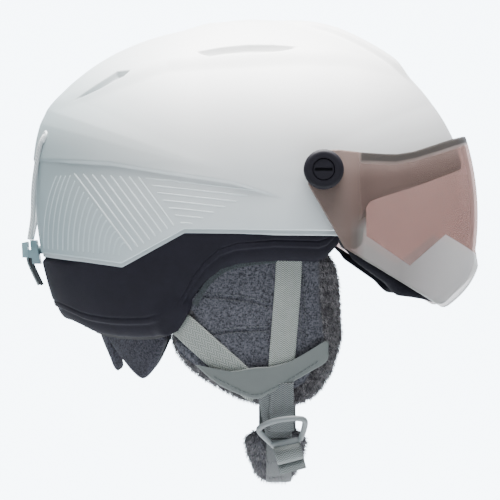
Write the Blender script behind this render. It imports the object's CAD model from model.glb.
import math

import bmesh
import bpy
import numpy as np
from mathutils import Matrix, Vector


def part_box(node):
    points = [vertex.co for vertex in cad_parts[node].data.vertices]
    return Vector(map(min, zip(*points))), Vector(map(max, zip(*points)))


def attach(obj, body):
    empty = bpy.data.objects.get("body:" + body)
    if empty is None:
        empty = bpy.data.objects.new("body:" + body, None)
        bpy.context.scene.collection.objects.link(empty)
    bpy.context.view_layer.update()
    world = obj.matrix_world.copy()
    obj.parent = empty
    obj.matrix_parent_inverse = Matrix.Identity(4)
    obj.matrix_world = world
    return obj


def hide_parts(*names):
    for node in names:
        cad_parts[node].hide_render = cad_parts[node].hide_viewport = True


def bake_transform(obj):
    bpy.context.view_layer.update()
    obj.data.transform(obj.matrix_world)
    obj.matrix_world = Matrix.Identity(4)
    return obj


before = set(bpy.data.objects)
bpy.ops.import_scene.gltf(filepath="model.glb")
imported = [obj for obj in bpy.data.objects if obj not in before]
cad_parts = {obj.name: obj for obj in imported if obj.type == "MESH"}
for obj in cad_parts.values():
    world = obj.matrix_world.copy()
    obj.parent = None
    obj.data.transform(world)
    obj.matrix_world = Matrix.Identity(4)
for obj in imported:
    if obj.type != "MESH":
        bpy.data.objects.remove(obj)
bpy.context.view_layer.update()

# Lengths below are millimetres in the row's frame; mesh() turns them into metres.
MM = 0.001

# ---------------------------------------------------------------- forms shared with the CAD model
CENTRE_X, CENTRE_Z = 2.4, 30.0
SHELL = (129.0, 103.5, 98.5, 170.0)  # half length, half width, rise, drop
CAVITY = (104.0, 80.0, 72.0, 300.0)
EAR = (122.0, 94.0, 98.5, 240.0)
NAPE = (92.0, 72.0, 72.0, 300.0)
LENS = (139.5, 112.0, 147.0, 150.0)
LENS_Z = 11.0
PIVOT = (44.7, 36.0)
CHIN_X, CHIN_RADIUS, CHIN_CENTRE_Z = 20.0, 91.3, -56.7

EDGE = [(-130, -13), (-118, -13.9), (-71.9, -19.9), (-35, 0), (62, -1), (66.8, 3)]
FACE = [(66.9, 9.1), (72.2, 18.7), (85.3, 23.8), (106.3, 30.1), (131.4, 39.5), (140, 42)]
ARCH = [
    (-125, -47), (-104, -52.5), (-92, -58.6), (-86.6, -60), (-75, -61.6), (-63.7, -61.9), (-53.8, -61.3),
    (-43.8, -57.9), (-38.1, -55), (-33.9, -48), (-28.2, -36.6), (-22.5, -28.9), (-14, -21.6),
    (-4.1, -18.2), (17.2, -16.5), (42, -17.2), (46.5, -15.6), (50.5, -11.6), (54.5, -7.2), (56, -3),
]


def table(points, x):
    """Height of an outline at x."""
    points = np.array(points)
    return np.interp(x, points[:, 0], points[:, 1])


def egg(size, z, angle, grow=0.0, cx=CENTRE_X, cz=CENTRE_Z):
    """Points of an egg at height z and plan angle (0 forward, positive to the left)."""
    length, width, rise, drop = (v + grow for v in size)
    span = np.where(z > cz, rise, drop)
    f = np.sqrt(np.clip(1 - ((z - cz) / span) ** 2, 0, 1))
    return np.stack([cx + length * f * np.cos(angle), width * f * np.sin(angle), z + 0 * angle], -1)


def unit(v):
    """Vectors made one long."""
    return v / np.linalg.norm(v, axis=-1, keepdims=True)


def run_along(path):
    """Length along a path at each of its points."""
    return np.concatenate([[0], np.cumsum(np.linalg.norm(np.diff(path, axis=0), axis=1))])


def egg_normal(size, p, cx=CENTRE_X, cz=CENTRE_Z):
    length, width, rise, drop = size
    span = np.where(p[..., 2] > cz, rise, drop)
    n = np.stack([(p[..., 0] - cx) / length**2, p[..., 1] / width**2, (p[..., 2] - cz) / span**2], -1)
    return unit(n)


def egg_side(size, x, z, grow=0.0):
    """How far out an egg's surface is at a place in the side view."""
    length, width, rise, drop = (v + grow for v in size)
    span = np.where(np.asarray(z) > CENTRE_Z, rise, drop)
    f = 1 - ((np.asarray(x) - CENTRE_X) / length) ** 2 - ((np.asarray(z) - CENTRE_Z) / span) ** 2
    return width * np.sqrt(np.clip(f, 0.0004, 1))


def smooth(t):
    """Eases from 0 to 1."""
    t = np.clip(t, 0, 1)
    return t * t * (3 - 2 * t)


def round_edge(t, least=0.0):
    """Quarter-round section: 0 at an edge and 1 from t = 1 inwards."""
    return np.sqrt(np.clip(1 - (1 - np.clip(t, 0, 1)) ** 2, least, 1))


def spline(points, count):
    """Evenly spread points on a Catmull-Rom curve."""
    p = np.array(points, float)
    p = np.vstack([2 * p[0] - p[1], p, 2 * p[-1] - p[-2]])
    out = []
    for i in range(1, len(p) - 2):
        t = np.linspace(0, 1, 24, endpoint=False)[:, None]
        a, b, c, d = p[i - 1], p[i], p[i + 1], p[i + 2]
        line = 2 * b + (c - a) * t + (2 * a - 5 * b + 4 * c - d) * t**2
        out.append(0.5 * (line + (3 * b - a - 3 * c + d) * t**3))
    out = np.vstack(out + [p[-2:-1]])
    run = run_along(out)
    at = np.linspace(0, run[-1], count)
    return np.stack([np.interp(at, run, out[:, k]) for k in range(out.shape[1])], -1)


def segment_distance(x, z, a, b):
    """Distance from places in the side view to the segment from a to b."""
    a, b = np.array(a), np.array(b)
    d = b - a
    t = np.clip(((x - a[0]) * d[0] + (z - a[1]) * d[1]) / (d @ d), 0, 1)
    return np.hypot(x - a[0] - t * d[0], z - a[1] - t * d[1])


def line_distance(line, x, z):
    """Distance from places in the side view to a line of points."""
    near = np.full(np.shape(x), 1e9)
    for a, b in zip(line[:-1], line[1:]):
        near = np.minimum(near, segment_distance(x, z, a, b))
    return near


def polygon_depth(x, z, outline):
    """Distance inside a closed outline, negative outside it."""
    near = np.full(np.shape(x), 1e9)
    inside = np.zeros(np.shape(x), bool)
    for a, b in zip(outline, outline[1:] + outline[:1]):
        near = np.minimum(near, segment_distance(x, z, a, b))
        crosses = (a[1] > z) != (b[1] > z)
        rise = b[1] - a[1] if b[1] != a[1] else 1e-9
        inside ^= crosses & (x < (b[0] - a[0]) * (z - a[1]) / rise + a[0])
    return np.where(inside, near, -near)


# ---------------------------------------------------------------- meshes
def mesh(name, points, faces, material, body, replaces=(), uv=None, smooth_faces=True):
    """One piece from points in millimetres, riding on a body."""
    data = bpy.data.meshes.new(name)
    data.from_pydata((np.asarray(points, float) * MM).tolist(), [], [list(map(int, f)) for f in faces])
    data.validate()
    if uv is not None:
        layer = data.uv_layers.new(name="UVMap")
        corner = np.empty(len(data.loops), int)
        data.loops.foreach_get("vertex_index", corner)
        layer.data.foreach_set("uv", np.asarray(uv, np.float32)[corner].ravel())
    obj = bpy.data.objects.new(name, data)
    bpy.context.scene.collection.objects.link(obj)
    data.materials.append(material)
    fix = bmesh.new()
    fix.from_mesh(data)
    bmesh.ops.recalc_face_normals(fix, faces=fix.faces)
    fix.to_mesh(data)
    fix.free()
    if smooth_faces:
        data.shade_smooth()
    if body:
        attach(obj, body)
    if replaces:
        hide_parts(*replaces)
    return obj


def grid_faces(rows, columns, start=0, wrap=False, flip=False):
    """Quads between rows of points laid out one after another."""
    across = columns if wrap else columns - 1
    r, c = np.meshgrid(np.arange(rows - 1), np.arange(across), indexing="ij")
    n = (c + 1) % columns
    quad = [r * columns + c, r * columns + n, (r + 1) * columns + n, (r + 1) * columns + c]
    if flip:
        quad.reverse()
    return (np.stack(quad, -1).reshape(-1, 4) + start).tolist()


def end_caps(rows, count):
    """Faces that close both ends of rows of points laid out one after another."""
    return [list(range(count)), [(rows - 1) * count + k for k in range(count)][::-1]]


def solid_sheet(outer, inner, wrap=False, rim=2):
    """Closed body between two matching grids of points, with its rims rounded over."""
    rows, columns = outer.shape[:2]
    middle = (outer + inner) / 2
    half = (outer - inner) / 2

    def edge(index, away):
        """Rows that round the rim from the outer grid to the inner one."""
        ring = []
        for k in range(1, rim + 1):
            a = math.pi * k / (rim + 1)
            ring.append(middle[index] + half[index] * math.cos(a) + away * math.sin(a))
        return ring

    thick = np.linalg.norm(half[0], axis=-1, keepdims=True)
    first = outer[0] - outer[1]
    first = first / np.linalg.norm(first, axis=-1, keepdims=True) * thick * 0.8
    last = outer[-1] - outer[-2]
    last_length = np.maximum(np.linalg.norm(last, axis=-1, keepdims=True), 1e-6)
    last = last / last_length * np.linalg.norm(half[-1], axis=-1, keepdims=True) * 0.8
    loop = list(outer) + edge(-1, last) + list(inner[::-1]) + edge(0, first)[::-1]
    stack = np.stack(loop)
    count = len(stack)
    faces = grid_faces(count, columns, wrap=wrap)
    c = np.arange(columns if wrap else columns - 1)
    n = (c + 1) % columns
    close = np.stack([(count - 1) * columns + c, (count - 1) * columns + n, n, c], -1)
    faces += close.tolist()
    if not wrap:
        faces.append([k * columns for k in range(count)])
        faces.append([k * columns + columns - 1 for k in range(count)][::-1])
    return stack.reshape(-1, 3), faces


def tube(path, radius, sides=10, flat=1.0, up=(0, 1, 0), closed=False):
    """Round or flattened bar along a path of points; radius may change along it."""
    path = np.asarray(path, float)
    count = len(path)
    radius = np.broadcast_to(radius, count)
    ahead = np.roll(path, -1, 0) - np.roll(path, 1, 0) if closed else np.gradient(path, axis=0)
    ahead = unit(ahead)
    side = np.cross(ahead, np.asarray(up, float))
    side /= np.maximum(np.linalg.norm(side, axis=1, keepdims=True), 1e-9)
    over = np.cross(side, ahead)
    a = np.linspace(0, 2 * math.pi, sides, endpoint=False)
    ring = np.cos(a)[None, :, None] * side[:, None] + np.sin(a)[None, :, None] * over[:, None] * flat
    points = (path[:, None] + ring * radius[:, None, None]).reshape(-1, 3)
    faces = []
    for i in range(count if closed else count - 1):
        j = (i + 1) % count
        for k in range(sides):
            m = (k + 1) % sides
            faces.append([i * sides + k, j * sides + k, j * sides + m, i * sides + m])
    if not closed:
        faces += end_caps(count, sides)
    return points, faces


def strap(path, normal, width, thickness):
    """Flat webbing along a path, with its edges rounded, and UVs in millimetres."""
    path = np.asarray(path, float)
    normal = unit(np.asarray(normal, float))
    side = unit(np.cross(unit(np.gradient(path, axis=0)), normal))
    width = np.broadcast_to(width, len(path))
    run = run_along(path)
    section = []
    for face in (1, -1):
        for u in np.linspace(-face, face, 13):
            crown = face * 0.5 * thickness * (1 - 0.10 * u * u)
            section.append((u * 0.5, crown * (1 if abs(u) < 0.99 else 0.55)))
    count = len(section)
    points, uv = [], []
    for i in range(len(path)):
        for s, t in section:
            points.append(path[i] + side[i] * (s * width[i]) + normal[i] * t)
            uv.append((s * width[i] + 8, run[i]))
    faces = grid_faces(len(path), count, wrap=True)
    faces += end_caps(len(path), count)
    return np.array(points), faces, np.array(uv)


def joined(parts):
    """Several (points, faces) bodies as one."""
    points, faces, start = [], [], 0
    for p, f in parts:
        points.append(np.asarray(p, float))
        faces += [[int(i) + start for i in face] for face in f]
        start += len(p)
    return np.vstack(points), faces


def pillow(outline, centre, side_of, thickness, sign, rings=26, count=220, edge=0.5, dent=None):
    """Padded plate from a side-view outline: full in the middle and rolled in at its edge.

    side_of(x, z) is how far out its outer face lies."""
    closed = spline(outline + outline[:1], count + 1)[:-1]
    centre = np.array(centre, float)
    t = np.sin(np.linspace(0.02, 1, rings) * math.pi / 2)
    x = centre[0] + (closed[None, :, 0] - centre[0]) * t[:, None]
    z = centre[1] + (closed[None, :, 1] - centre[1]) * t[:, None]
    full = round_edge(np.hypot(x - closed[None, :, 0], z - closed[None, :, 1]) / (thickness * edge))
    out = side_of(x, z) - thickness / 2
    face = out + thickness / 2 * full - (dent(x, z) if dent else 0) * full
    back = out - thickness / 2 * full
    outer = np.stack([x, sign * face, z], -1)
    inner = np.stack([x, sign * back, z], -1)
    points = np.concatenate([outer.reshape(-1, 3), inner[:-1].reshape(-1, 3)])
    faces = grid_faces(rings, count, wrap=True)
    base = rings * count
    faces += grid_faces(rings - 1, count, start=base, wrap=True, flip=True)
    last = (rings - 1) * count
    low = base + (rings - 2) * count
    for k in range(count):
        n = (k + 1) % count
        faces.append([last + k, last + n, low + n, low + k])
    faces.append(list(range(count))[::-1])
    faces.append([base + k for k in range(count)])
    return points, faces


def fur(points, normals, length, width, seed, lean=(0, 0, -0.5), spread=0.7):
    """Short tapered hairs standing on a surface."""
    rng = np.random.default_rng(seed)
    count = len(points)
    way = normals + np.array(lean) + rng.normal(0, spread, (count, 3))
    way = unit(way)
    side = unit(np.cross(way, rng.normal(0, 1, (count, 3))))
    size = length * rng.uniform(0.55, 1.15, count)[:, None]
    bend = np.array([0, 0, -0.25]) * size
    base = points - normals * 0.4
    a = base + side * width / 2
    b = base - side * width / 2
    middle = base + way * size * 0.6
    c = middle + side * width * 0.35
    d = middle - side * width * 0.35
    tip = base + way * size + bend
    other = np.cross(way, side) * width * 0.4
    e = base + other
    all_points = np.stack([a, b, e, c, d, middle + other * 0.7, tip], 1).reshape(-1, 3)
    faces = []
    for k in range(count):
        s = 7 * k
        faces += [[s, s + 1, s + 4, s + 3], [s + 1, s + 2, s + 5, s + 4], [s + 2, s, s + 3, s + 5]]
        faces += [[s + 3, s + 4, s + 6], [s + 4, s + 5, s + 6], [s + 5, s + 3, s + 6], [s + 2, s + 1, s]]
    return all_points, faces


def hair_places(points, faces, keep, count, seed):
    """Places and normals spread over the faces of a body whose centres pass keep()."""
    rng = np.random.default_rng(seed)
    points = np.asarray(points, float)
    quads = np.array([f[:4] for f in faces if len(f) == 4])
    corner = points[quads]
    middle = corner.mean(1)
    normal = np.cross(corner[:, 2] - corner[:, 0], corner[:, 3] - corner[:, 1])
    area = np.linalg.norm(normal, axis=1)
    chosen = keep(middle) & (area > 1e-6)
    corner, normal, area = corner[chosen], normal[chosen], area[chosen]
    normal /= area[:, None]
    pick = rng.choice(len(area), count, p=area / area.sum())
    u, v = rng.uniform(0, 1, (2, count, 1))
    c = corner[pick]
    place = (c[:, 0] * (1 - u) + c[:, 1] * u) * (1 - v) + (c[:, 3] * (1 - u) + c[:, 2] * u) * v
    return place, normal[pick]


# ---------------------------------------------------------------- materials
def srgb(r, g, b):
    """Linear colour from screen values of 0 to 255."""
    linear = [v / 255 / 12.92 if v <= 10 else ((v / 255 + 0.055) / 1.055) ** 2.4 for v in (r, g, b)]
    return (*linear, 1.0)


def grey(value):
    return (value, value, value, 1)


def link(source, target):
    """Joins two sockets of one node tree."""
    target.id_data.links.new(source, target)


def new_material(name, colour, roughness, **inputs):
    m = bpy.data.materials.new(name)
    m.use_nodes = True
    tree = m.node_tree
    shader = tree.nodes["Principled BSDF"]
    shader.inputs["Base Color"].default_value = colour
    shader.inputs["Roughness"].default_value = roughness
    for key, value in inputs.items():
        shader.inputs[key.replace("_", " ")].default_value = value
    return m, tree, shader


def node(tree, kind, **settings):
    n = tree.nodes.new(kind)
    for key, value in settings.items():
        setattr(n, key, value)
    return n


def coordinates(tree, stretch=(1, 1, 1)):
    """The piece's own coordinates, stretched."""
    where = node(tree, "ShaderNodeTexCoord")
    mapping = node(tree, "ShaderNodeMapping")
    mapping.inputs["Scale"].default_value = stretch
    link(where.outputs["Object"], mapping.inputs["Vector"])
    return mapping.outputs["Vector"]


def noise(tree, vector, scale, detail=4.0, roughness=0.6):
    n = node(tree, "ShaderNodeTexNoise")
    n.inputs["Scale"].default_value = scale
    n.inputs["Detail"].default_value = detail
    n.inputs["Roughness"].default_value = roughness
    link(vector, n.inputs["Vector"])
    return n.outputs["Fac"]


def ramp(tree, factor, stops):
    r = node(tree, "ShaderNodeValToRGB")
    elements = r.color_ramp.elements
    while len(elements) < len(stops):
        elements.new(0.5)
    for e, (place, colour) in zip(elements, stops):
        e.position = place
        e.color = colour
    link(factor, r.inputs["Fac"])
    return r.outputs["Color"]


def bump(tree, shader, height, strength, distance):
    b = node(tree, "ShaderNodeBump")
    b.inputs["Strength"].default_value = strength
    b.inputs["Distance"].default_value = distance
    link(height, b.inputs["Height"])
    link(b.outputs["Normal"], shader.inputs["Normal"])


def mix(tree, factor, a, b, kind="MIX"):
    m = node(tree, "ShaderNodeMix", data_type="RGBA", blend_type=kind)
    for value, socket in ((factor, m.inputs[0]), (a, m.inputs[6]), (b, m.inputs[7])):
        if isinstance(value, (int, float, tuple)):
            socket.default_value = value
        else:
            link(value, socket)
    return m.outputs[2]


def math_node(tree, kind, a, b=0.0, c=0.0, clamp=False):
    n = node(tree, "ShaderNodeMath", operation=kind, use_clamp=clamp)
    for value, socket in zip((a, b, c), n.inputs):
        if isinstance(value, (int, float)):
            socket.default_value = value
        else:
            link(value, socket)
    return n.outputs[0]


def weighted(tree, a, share_a, b, share_b):
    """Two values added in given shares."""
    first = math_node(tree, "MULTIPLY", a, share_a)
    return math_node(tree, "ADD", first, math_node(tree, "MULTIPLY", b, share_b))


def soft_step(tree, value, place, width, falls=False, middle=0.5):
    """Climbs from 0 to 1 as a length passes a place in millimetres, or falls from 1 to 0."""
    pair = (place * MM, value) if falls else (value, place * MM)
    gap = math_node(tree, "SUBTRACT", *pair)
    return math_node(tree, "MULTIPLY_ADD", gap, 1 / (width * MM), middle, clamp=True)


def uneven_gloss(tree, shader, factor, low, high):
    rough = node(tree, "ShaderNodeMapRange")
    rough.inputs["To Min"].default_value = low
    rough.inputs["To Max"].default_value = high
    link(factor, rough.inputs["Value"])
    link(rough.outputs["Result"], shader.inputs["Roughness"])


def mix_surface(tree, share, under, over):
    """The material's surface: one shader laid over another by a share."""
    top = node(tree, "ShaderNodeMixShader")
    if isinstance(share, float):
        top.inputs[0].default_value = share
    else:
        link(share, top.inputs[0])
    link(under, top.inputs[1])
    link(over, top.inputs[2])
    link(top.outputs[0], tree.nodes["Material Output"].inputs["Surface"])


def plain(name, colour, roughness, grain=1800.0, strength=0.15, vary=0.12, **inputs):
    """Moulded plastic or rubber: fine grain, a little colour variation and uneven gloss."""
    m, tree, shader = new_material(name, colour, roughness, **inputs)
    where = coordinates(tree)
    fine = noise(tree, where, grain)
    broad = noise(tree, where, grain / 30, 3.0)
    dark = tuple(v * (1 - vary) for v in colour[:3]) + (1,)
    light = tuple(min(1, v * (1 + vary)) for v in colour[:3]) + (1,)
    link(ramp(tree, broad, [(0.3, dark), (0.7, light)]), shader.inputs["Base Color"])
    uneven_gloss(tree, shader, fine, max(0.05, roughness - 0.07), min(1, roughness + 0.07))
    bump(tree, shader, fine, strength, 0.0002)
    return m


def shell_paint():
    """Matt white paint that fades to a pale blue grey at the lower rear, with fine texture."""
    coat = {"Coat_Weight": 0.12, "Coat_Roughness": 0.35}
    m, tree, shader = new_material("shell_paint", srgb(236, 240, 243), 0.48, **coat)
    where = coordinates(tree)
    place = node(tree, "ShaderNodeSeparateXYZ")
    link(where, place.inputs[0])
    up = math_node(tree, "MULTIPLY", place.outputs["Z"], 1 / 0.105, clamp=True)
    along = math_node(tree, "MULTIPLY_ADD", place.outputs["X"], 1 / 0.25, 0.5, clamp=True)
    low, mid, high = (0.66, 0.72, 0.745, 1), (0.66, 0.675, 0.68, 1), (0.78, 0.785, 0.79, 1)
    by_height = ramp(tree, up, [(0.0, low), (0.5, mid), (0.74, high), (0.95, grey(0.95))])
    rear, side, front = (0.40, 0.485, 0.505, 1), (0.96, 0.97, 0.97, 1), (0.58, 0.58, 0.59, 1)
    by_length = ramp(tree, along, [(0.02, rear), (0.38, side), (0.75, grey(0.95)), (0.98, front)])
    tint = mix(tree, 1.0, by_height, by_length, "MULTIPLY")
    soft = ramp(tree, noise(tree, where, 25.0, 3.0), [(0.3, grey(0.97)), (0.7, grey(1))])
    link(mix(tree, 1.0, tint, soft, "MULTIPLY"), shader.inputs["Base Color"])
    fine = noise(tree, where, 2600.0, 3.0)
    uneven_gloss(tree, shader, fine, 0.42, 0.56)
    bump(tree, shader, fine, 0.10, 0.0001)
    return m


def felt(name, dark, light, fleck=1300.0, strength=0.6, sheen=0.1):
    """Heathered felt: short crossed fibres in two tones."""
    pile = {"Sheen_Weight": sheen, "Sheen_Roughness": 0.6, "Specular_IOR_Level": 0.15}
    m, tree, shader = new_material(name, light, 0.95, **pile)
    fibres = noise(tree, coordinates(tree, (1.0, 1.0, 0.6)), fleck, 3.0, 0.7)
    cross = noise(tree, coordinates(tree, (0.55, 1.0, 1.0)), fleck * 0.8, 3.0, 0.7)
    cloud = noise(tree, coordinates(tree), 160.0, 3.0)
    both = weighted(tree, fibres, 0.5, cross, 0.5)
    tone = weighted(tree, both, 0.93, cloud, 0.07)
    link(ramp(tree, tone, [(0.42, dark), (0.58, light)]), shader.inputs["Base Color"])
    bump(tree, shader, both, strength, 0.0006)
    return m


def webbing(name, dark, light, rib=1.15, zigzag=2.6):
    """Herringbone webbing; the UVs are millimetres across and along."""
    m, tree, shader = new_material(name, light, 0.72, Sheen_Weight=0.25, Sheen_Roughness=0.4)
    uv = node(tree, "ShaderNodeUVMap", uv_map="UVMap")
    parts = node(tree, "ShaderNodeSeparateXYZ")
    link(uv.outputs["UV"], parts.inputs[0])
    across, along = parts.outputs["X"], parts.outputs["Y"]
    fold = math_node(tree, "PINGPONG", across, zigzag)
    run = math_node(tree, "ADD", along, math_node(tree, "MULTIPLY", fold, 0.8))
    twill = math_node(tree, "SINE", math_node(tree, "MULTIPLY", run, 2 * math.pi / rib))
    warp = math_node(tree, "SINE", math_node(tree, "MULTIPLY", across, 2 * math.pi / 0.52))
    weave = weighted(tree, twill, 0.42, warp, 0.08)
    height = math_node(tree, "ADD", weave, 0.5)
    fuzz = noise(tree, coordinates(tree), 900.0, 5.0)
    tone = weighted(tree, height, 0.7, fuzz, 0.3)
    link(ramp(tree, tone, [(0.25, dark), (0.7, light)]), shader.inputs["Base Color"])
    bump(tree, shader, height, 0.55, 0.00035)
    return m


def foam(name, colour, cell=420.0, strength=0.35, **inputs):
    """Moulded bead foam or open cell foam."""
    m, tree, shader = new_material(name, colour, 0.7, **inputs)
    where = coordinates(tree)
    cells = node(tree, "ShaderNodeTexVoronoi")
    cells.inputs["Scale"].default_value = cell
    link(where, cells.inputs["Vector"])
    fine = noise(tree, where, 2400.0, 3.0)
    height = weighted(tree, cells.outputs["Distance"], 0.6, fine, 0.4)
    light = tuple(min(1, v * 1.5 + 0.004) for v in colour[:3]) + (1,)
    link(ramp(tree, height, [(0.2, colour), (0.8, light)]), shader.inputs["Base Color"])
    bump(tree, shader, height, strength, 0.0004)
    return m


WINDOW_EDGE = [(69, 10), (69.6, -1.8), (94.9, -18.6), (116.6, -0.6), (128.5, -7), (140, -12)]
TOP_STRIP = [(60, 40.5), (86.6, 40), (98.5, 42.5), (114, 47.4), (130, 53), (150, 60)]


def below_line(tree, x, z, a, b, soft):
    """1 below the line through two places in the side view, 0 above it (metres)."""
    slope = (b[1] - a[1]) / (b[0] - a[0])
    level = math_node(tree, "MULTIPLY_ADD", x, slope, (a[1] - slope * a[0]) * MM)
    gap = math_node(tree, "SUBTRACT", level, z)
    return math_node(tree, "MULTIPLY_ADD", gap, 1 / (2 * soft * MM), 0.5, clamp=True)


# Share of the lens surface that is seen as such; the rest lets light through, tinted.
LENS_BODY, BORDER_BODY, STRIP_BODY, REAR_BODY = 0.20, 0.50, 0.45, 0.58


def lens_material():
    """Orange-brown tinted, mirror-flashed lens with a neutral grey border, in the lens's own place."""
    m, tree, shader = new_material("lens_tint", srgb(200, 170, 160), 0.28, Specular_IOR_Level=0.35)
    parts = node(tree, "ShaderNodeSeparateXYZ")
    link(coordinates(tree), parts.inputs[0])
    x, z = parts.outputs["X"], parts.outputs["Z"]
    low = [below_line(tree, x, z, a, b, 0.35) for a, b in zip(WINDOW_EDGE[1:4], WINDOW_EDGE[2:5])]
    # The border lies below the rear line, and over the nose below both lines of the peak.
    rear = soft_step(tree, x, 69.3, 0.7, falls=True)
    under_hook = soft_step(tree, z, 6.5, 9.0, falls=True)
    back = math_node(tree, "MULTIPLY", rear, under_hook)
    peak = math_node(tree, "MINIMUM", low[1], low[2])
    nose = math_node(tree, "MULTIPLY", peak, soft_step(tree, x, WINDOW_EDGE[2][0], 0.5))
    border = math_node(tree, "MAXIMUM", math_node(tree, "MAXIMUM", low[0], back), nose)
    border = math_node(tree, "MULTIPLY", border, soft_step(tree, x, 64.0, 9.0))
    tops = [below_line(tree, x, z, a, b, 1.3) for a, b in zip(TOP_STRIP[:-1], TOP_STRIP[1:])]
    inside_top = tops[0]
    for t in tops[1:]:
        inside_top = math_node(tree, "MAXIMUM", inside_top, t)
    above_top = math_node(tree, "SUBTRACT", 1.0, inside_top)
    strip = math_node(tree, "MULTIPLY", above_top, soft_step(tree, x, 66.0, 1.5))
    neutral = math_node(tree, "MAXIMUM", border, strip)
    cloud = noise(tree, coordinates(tree), 14.0, 2.0)
    tinted = ramp(tree, cloud, [(0.3, (0.40, 0.322, 0.302, 1)), (0.7, (0.41, 0.334, 0.313, 1))])
    clear = mix(tree, strip, (0.44, 0.436, 0.43, 1), (0.13, 0.122, 0.115, 1))
    colour = mix(tree, neutral, tinted, clear)
    see = node(tree, "ShaderNodeBsdfTransparent")
    link(colour, see.inputs["Color"])
    ahead = math_node(tree, "MULTIPLY_ADD", x, 1 / 0.075, -0.8, clamp=True)
    frost = [(0.0, (0.36, 0.36, 0.34, 1)), (0.4, (0.34, 0.34, 0.33, 1)), (1.0, grey(0.92))]
    frosted = ramp(tree, ahead, frost)
    rear_share = soft_step(tree, x, 76.0, 22.0, falls=True, middle=0.0)
    warm = mix(tree, rear_share, (0.46, 0.325, 0.29, 1), (0.225, 0.168, 0.148, 1))
    haze = mix(tree, neutral, warm, mix(tree, strip, frosted, (0.085, 0.078, 0.074, 1)))
    link(haze, shader.inputs["Base Color"])
    cover = math_node(tree, "MULTIPLY_ADD", border, BORDER_BODY - LENS_BODY, LENS_BODY)
    cover = math_node(tree, "MULTIPLY_ADD", strip, STRIP_BODY - LENS_BODY, cover)
    cover = math_node(tree, "MAXIMUM", cover, math_node(tree, "MULTIPLY", rear_share, REAR_BODY))
    mix_surface(tree, cover, see.outputs[0], shader.outputs[0])
    return m


SHELL_PAINT = shell_paint()
BLACK_SHELL = plain(
    "black_shell", srgb(24, 23, 33), 0.74, grain=1500.0, strength=0.35, Specular_IOR_Level=0.2
)
LINER = foam("liner_beads", srgb(30, 30, 34))
FACE_FOAM = foam("face_foam", srgb(16, 16, 22), cell=1400.0, Specular_IOR_Level=0.04)
VENT_FLOOR = plain("vent_floor", srgb(196, 199, 201), 0.6, grain=700.0, strength=0.5)
TRIM_PAINT = plain("trim_paint", srgb(172, 182, 186), 0.45, grain=2600.0, strength=0.08, vary=0.03)
NAPE_RIB_PAINT = plain("nape_rib_paint", srgb(186, 200, 204), 0.4, grain=2600.0, strength=0.08, vary=0.03)
RIB_PAINT = plain("rib_paint", srgb(214, 223, 226), 0.4, grain=2600.0, strength=0.08, vary=0.03)
FELT = felt("ear_felt", srgb(36, 37, 44), srgb(96, 97, 105))
BINDING = felt("binding_fabric", srgb(40, 44, 47), srgb(70, 75, 78), 2600.0, 0.3)
PLUSH = felt("plush_backing", srgb(40, 39, 43), srgb(92, 90, 93), 700.0, 0.9, 0.05)
HAIR = felt("plush_hair", srgb(62, 61, 66), srgb(158, 156, 159), 420.0, 0.1, 0.08)
CHIN_FELT = felt("chin_felt", srgb(38, 38, 43), srgb(84, 84, 90), sheen=0.05)
LOBE_FELT = felt("lobe_felt", srgb(32, 32, 38), srgb(66, 66, 75), sheen=0.05)
LINING = felt("pad_lining", srgb(40, 44, 48), srgb(78, 82, 88), 2600.0, 0.4)
WEBBING = webbing("webbing", srgb(80, 86, 84), srgb(168, 174, 169), 1.15, 1.9)
WEBBING_DARK = webbing("webbing_shaded", srgb(56, 61, 62), srgb(120, 125, 126), 1.2, 1.9)
WEBBING_LOW = webbing("webbing_low", srgb(36, 39, 41), srgb(76, 80, 82), 1.2, 1.9)
TAIL_WEBBING = webbing("webbing_tail", srgb(80, 86, 86), srgb(144, 150, 149), 1.2, 1.9)
GUARD = plain("strap_guard", srgb(98, 104, 103), 0.6, grain=900.0, strength=0.25, vary=0.06)
THREAD = plain("stitch_thread", srgb(84, 92, 92), 0.8)
LIGHT_THREAD = plain("light_thread", srgb(92, 97, 99), 0.8)
GREY_PLASTIC = plain("grey_plastic", srgb(118, 124, 126), 0.38, grain=1200.0, strength=0.08, vary=0.05)
KNOB_PLASTIC = plain(
    "knob_plastic", srgb(26, 25, 32), 0.5, grain=2200.0, strength=0.12, Specular_IOR_Level=0.16
)
CLIP_PLASTIC = plain("clip_plastic", srgb(124, 150, 158), 0.42, grain=1500.0, strength=0.08, vary=0.05)
EYELET_PLASTIC = plain("eyelet_plastic", srgb(206, 212, 214), 0.4)
TAB_RUBBER = plain("tab_rubber", srgb(58, 62, 66), 0.7)
TAB_GREY = plain("tab_grey", srgb(120, 128, 130), 0.65)
STEEL = plain("steel", srgb(150, 150, 150), 0.35, Metallic=1.0)
LENS_TINT = lens_material()


def cord_material():
    """Braided elastic: crossed helical ribs."""
    m, tree, shader = new_material("elastic_cord", srgb(176, 182, 184), 0.75)
    where = coordinates(tree)
    ribs = []
    for direction, scale in (("DIAGONAL", 420.0), ("Z", 520.0)):
        wave = node(tree, "ShaderNodeTexWave", wave_type="BANDS", bands_direction=direction)
        wave.inputs["Scale"].default_value = scale
        link(where, wave.inputs["Vector"])
        ribs.append(wave.outputs["Fac"])
    height = math_node(tree, "MULTIPLY", *ribs)
    tone = ramp(tree, height, [(0.0, srgb(186, 192, 194)), (0.8, srgb(236, 240, 241))])
    link(tone, shader.inputs["Base Color"])
    bump(tree, shader, height, 0.4, 0.0003)
    return m


CORD = cord_material()

# ---------------------------------------------------------------- camera, light and floor
CAMERA_DISTANCE = 1.9
CAMERA_AIM = Vector((0.003, 0, -0.00965))
HALF_FRAME = 0.150  # half the frame's width at the aim point

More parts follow.
